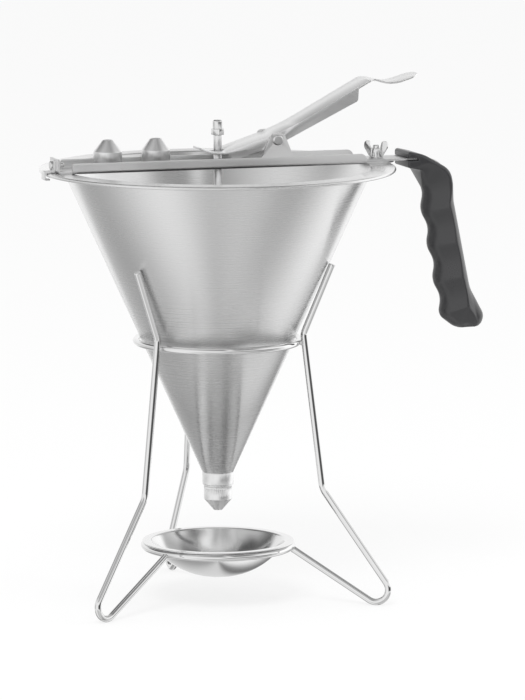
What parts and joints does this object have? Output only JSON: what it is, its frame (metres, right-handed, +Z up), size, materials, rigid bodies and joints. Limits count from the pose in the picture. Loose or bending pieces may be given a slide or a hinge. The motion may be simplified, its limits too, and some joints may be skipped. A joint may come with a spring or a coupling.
{
  "type": "batter dispenser",
  "caption": "Funnel dispenser for batter with a lever valve, cross bar, side grip and spare nozzles, on a wire stand over a drip dish.",
  "frame": {"origin": "on the surface it stands on, under the funnel's axis", "axes": "+X along the cross bar to the grip, +Z up, +Y to the rear leg"},
  "size_m": [0.285, 0.2196, 0.3247],
  "materials": {
    "wire": "polished wire",
    "dish_steel": "polished",
    "funnel_steel": "satin spun",
    "bar_steel": "matt satin",
    "nozzle_steel": "turned satin",
    "fastener_steel": "bright plated",
    "rod_steel": "polished",
    "spring_steel": "drawn wire",
    "grip_plastic": "fine matt grain"
  },
  "bodies": {
    "stand": {"cradle_ring": "wire", "dish_ring": "wire", "leg_rear": "wire", "leg_front_left": "wire", "leg_front_right": "wire"},
    "funnel": {"funnel_shell": "funnel_steel", "spout_collar": "funnel_steel", "rim_stud": "fastener_steel", "cross_bar": "bar_steel", "rim_clip": "bar_steel", "clip_screw": "fastener_steel", "clip_nut": "fastener_steel", "nozzle_post_1": "nozzle_steel", "nozzle_post_2": "nozzle_steel", "handle_strip": "bar_steel", "handle_grip": "grip_plastic", "pivot_pin": "fastener_steel", "pin_ring": "fastener_steel", "return_spring": "spring_steel"},
    "lever": {"lever": "bar_steel"},
    "rod": {"valve_rod": "rod_steel", "valve_plug": "rod_steel", "rod_ring": "fastener_steel", "rod_cap_nut": "fastener_steel"},
    "wing_nut": {"wing_nut": "fastener_steel"},
    "nozzle_fitted": {"nozzle_fitted": "nozzle_steel"},
    "nozzle_spare_1": {"nozzle_spare_1": "nozzle_steel"},
    "nozzle_spare_2": {"nozzle_spare_2": "nozzle_steel"},
    "dish": {"drip_dish": "dish_steel"}
  },
  "joints": [
    {"name": "funnel_lift", "type": "slide", "parent": "stand", "child": "funnel", "axis": [0, 0, 1], "range_m": [0, 0.2]},
    {"name": "dish_lift", "type": "slide", "parent": "stand", "child": "dish", "axis": [0, 0, 1], "range_m": [0, 0.022]},
    {"name": "lever_hinge", "type": "hinge", "parent": "funnel", "child": "lever", "pos_m": [0.0345, 0, 0.2869], "axis": [0, 1, 0], "range_deg": [0, 24], "stiffness_Nm_per_rad": 0.3, "springref_deg": -28.65, "deforming": ["return_spring"]},
    {"name": "rod_lift", "type": "slide", "parent": "funnel", "child": "rod", "axis": [0, 0, 1], "range_m": [0, 0.008]},
    {"name": "wing_nut_turn", "type": "hinge", "parent": "funnel", "child": "wing_nut", "pos_m": [0.103, 0, 0.2724], "axis": [0, 0, 1], "continuous": true},
    {"name": "nozzle_fitted_draw", "type": "slide", "parent": "funnel", "child": "nozzle_fitted", "axis": [0, 0, -1], "range_m": [0, 0.012]},
    {"name": "nozzle_spare_1_lift", "type": "slide", "parent": "funnel", "child": "nozzle_spare_1", "axis": [0, 0, 1], "range_m": [0, 0.02]},
    {"name": "nozzle_spare_2_lift", "type": "slide", "parent": "funnel", "child": "nozzle_spare_2", "axis": [0, 0, 1], "range_m": [0, 0.02]}
  ],
  "couplings": [
    {"joint": "rod_lift", "follows": "lever_hinge", "m_per_rad": 0.0155}
  ]
}
